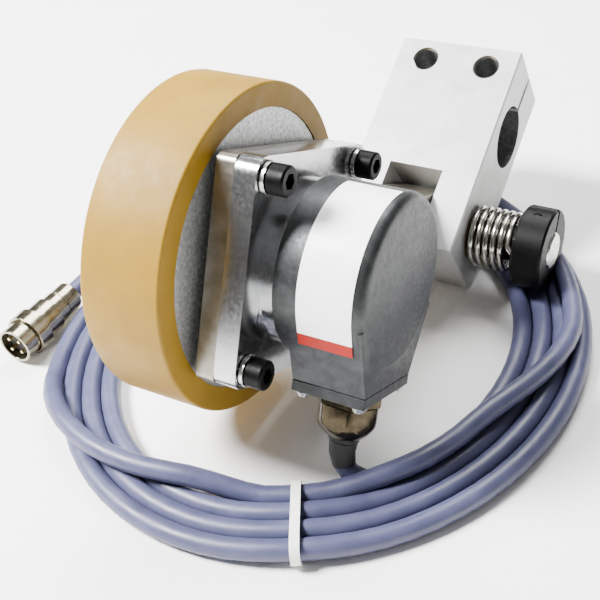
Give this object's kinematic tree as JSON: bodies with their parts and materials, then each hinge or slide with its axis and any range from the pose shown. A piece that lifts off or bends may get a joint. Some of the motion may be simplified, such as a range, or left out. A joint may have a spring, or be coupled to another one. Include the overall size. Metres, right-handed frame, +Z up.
{
  "type": "measuring wheel encoder",
  "caption": "Rotary encoder with a tan measuring wheel on a sprung swing arm, a split clamp clevis, a coiled grey cable and a round plug.",
  "frame": {"origin": "on the standing surface, under the middle of the box of the object without its cable", "axes": "+X along the wheel and pivot axes from the wheel to the encoder cover, +Y from the wheel to the clevis, +Z up"},
  "size_m": [0.1897, 0.2087, 0.1082],
  "materials": {
    "tan_polyurethane": "moulded matte polyurethane tread",
    "cast_hub": "sand-cast aluminium, faced and grainy",
    "cast_cover": "die-cast aluminium, mottled grey",
    "machined_aluminium": "turned and milled, bright",
    "clevis_aluminium": "milled block, satin",
    "black_oxide_steel": "black oxide",
    "bright_steel": "bright steel",
    "sintered_bronze": "sintered bronze",
    "printed_disc": "etched code disc",
    "board": "glass-fibre circuit board",
    "black_plastic": "moulded black plastic",
    "black_rubber": "moulded rubber",
    "nickel_plate": "nickel-plated brass",
    "grey_pvc": "lilac-grey extruded cable jacket",
    "white_nylon": "moulded nylon",
    "gold_plate": "plated contacts"
  },
  "bodies": {
    "encoder_arm": {"board_standoff_1": "bright_steel", "board_standoff_2": "bright_steel", "board_standoff_3": "bright_steel", "cable_coil": "grey_pvc", "cable_lead": "grey_pvc", "cable_tail": "grey_pvc", "cable_tie": "white_nylon", "circuit_board": "board", "collar_screw": "black_oxide_steel", "contact_pin_1": "gold_plate", "contact_pin_2": "gold_plate", "contact_pin_3": "gold_plate", "contact_pin_4": "gold_plate", "cover_oring": "black_rubber", "encoder_cover": "cast_cover", "encoder_flange": "machined_aluminium", "flange_screw_1": "black_oxide_steel", "flange_screw_2": "black_oxide_steel", "flange_screw_3": "black_oxide_steel", "flange_screw_4": "black_oxide_steel", "foot_plate": "cast_cover", "front_bearing_balls": "bright_steel", "front_bearing_outer_race": "bright_steel", "gland_body": "nickel_plate", "gland_nut": "nickel_plate", "gland_seal": "black_rubber", "lock_washer_1": "bright_steel", "lock_washer_2": "bright_steel", "lock_washer_3": "bright_steel", "lock_washer_4": "bright_steel", "pivot_shaft": "bright_steel", "plate_screw_1": "bright_steel", "plate_screw_2": "bright_steel", "plate_screw_3": "bright_steel", "plate_screw_4": "bright_steel", "plug_back_shell": "nickel_plate", "plug_clamp_nut": "nickel_plate", "plug_insert": "black_plastic", "plug_sleeve": "nickel_plate", "reading_head": "black_plastic", "rear_bearing_balls": "bright_steel", "rear_bearing_outer_race": "bright_steel", "shaft_collar": "black_oxide_steel", "shaft_seal": "black_rubber", "swing_arm": "machined_aluminium", "torsion_spring": "bright_steel"},
    "clevis": {"clevis_block": "clevis_aluminium", "left_pivot_bush": "sintered_bronze", "right_pivot_bush": "sintered_bronze"},
    "wheel": {"wheel_tread": "tan_polyurethane", "wheel_hub": "cast_hub", "hub_set_screw": "black_oxide_steel", "encoder_shaft": "bright_steel", "disc_hub": "machined_aluminium", "code_disc": "printed_disc", "front_bearing_inner_race": "bright_steel", "rear_bearing_inner_race": "bright_steel"},
    "plug_ring": {"plug_coupling_ring": "nickel_plate"}
  },
  "joints": [
    {"name": "clevis_swing", "type": "hinge", "parent": "encoder_arm", "child": "clevis", "pos_m": [-0.0036, 0.03285, 0.02083], "axis": [1, 0, 0], "range_deg": [0, 30], "stiffness_Nm_per_rad": 1.5},
    {"name": "wheel_spin", "type": "hinge", "parent": "encoder_arm", "child": "wheel", "pos_m": [-0.0036, -0.04705, 0.0598], "axis": [1, 0, 0], "continuous": true},
    {"name": "plug_ring_spin", "type": "hinge", "parent": "encoder_arm", "child": "plug_ring", "pos_m": [-0.1136, -0.06706, 0.0077], "axis": [0, 1, 0], "continuous": true}
  ]
}
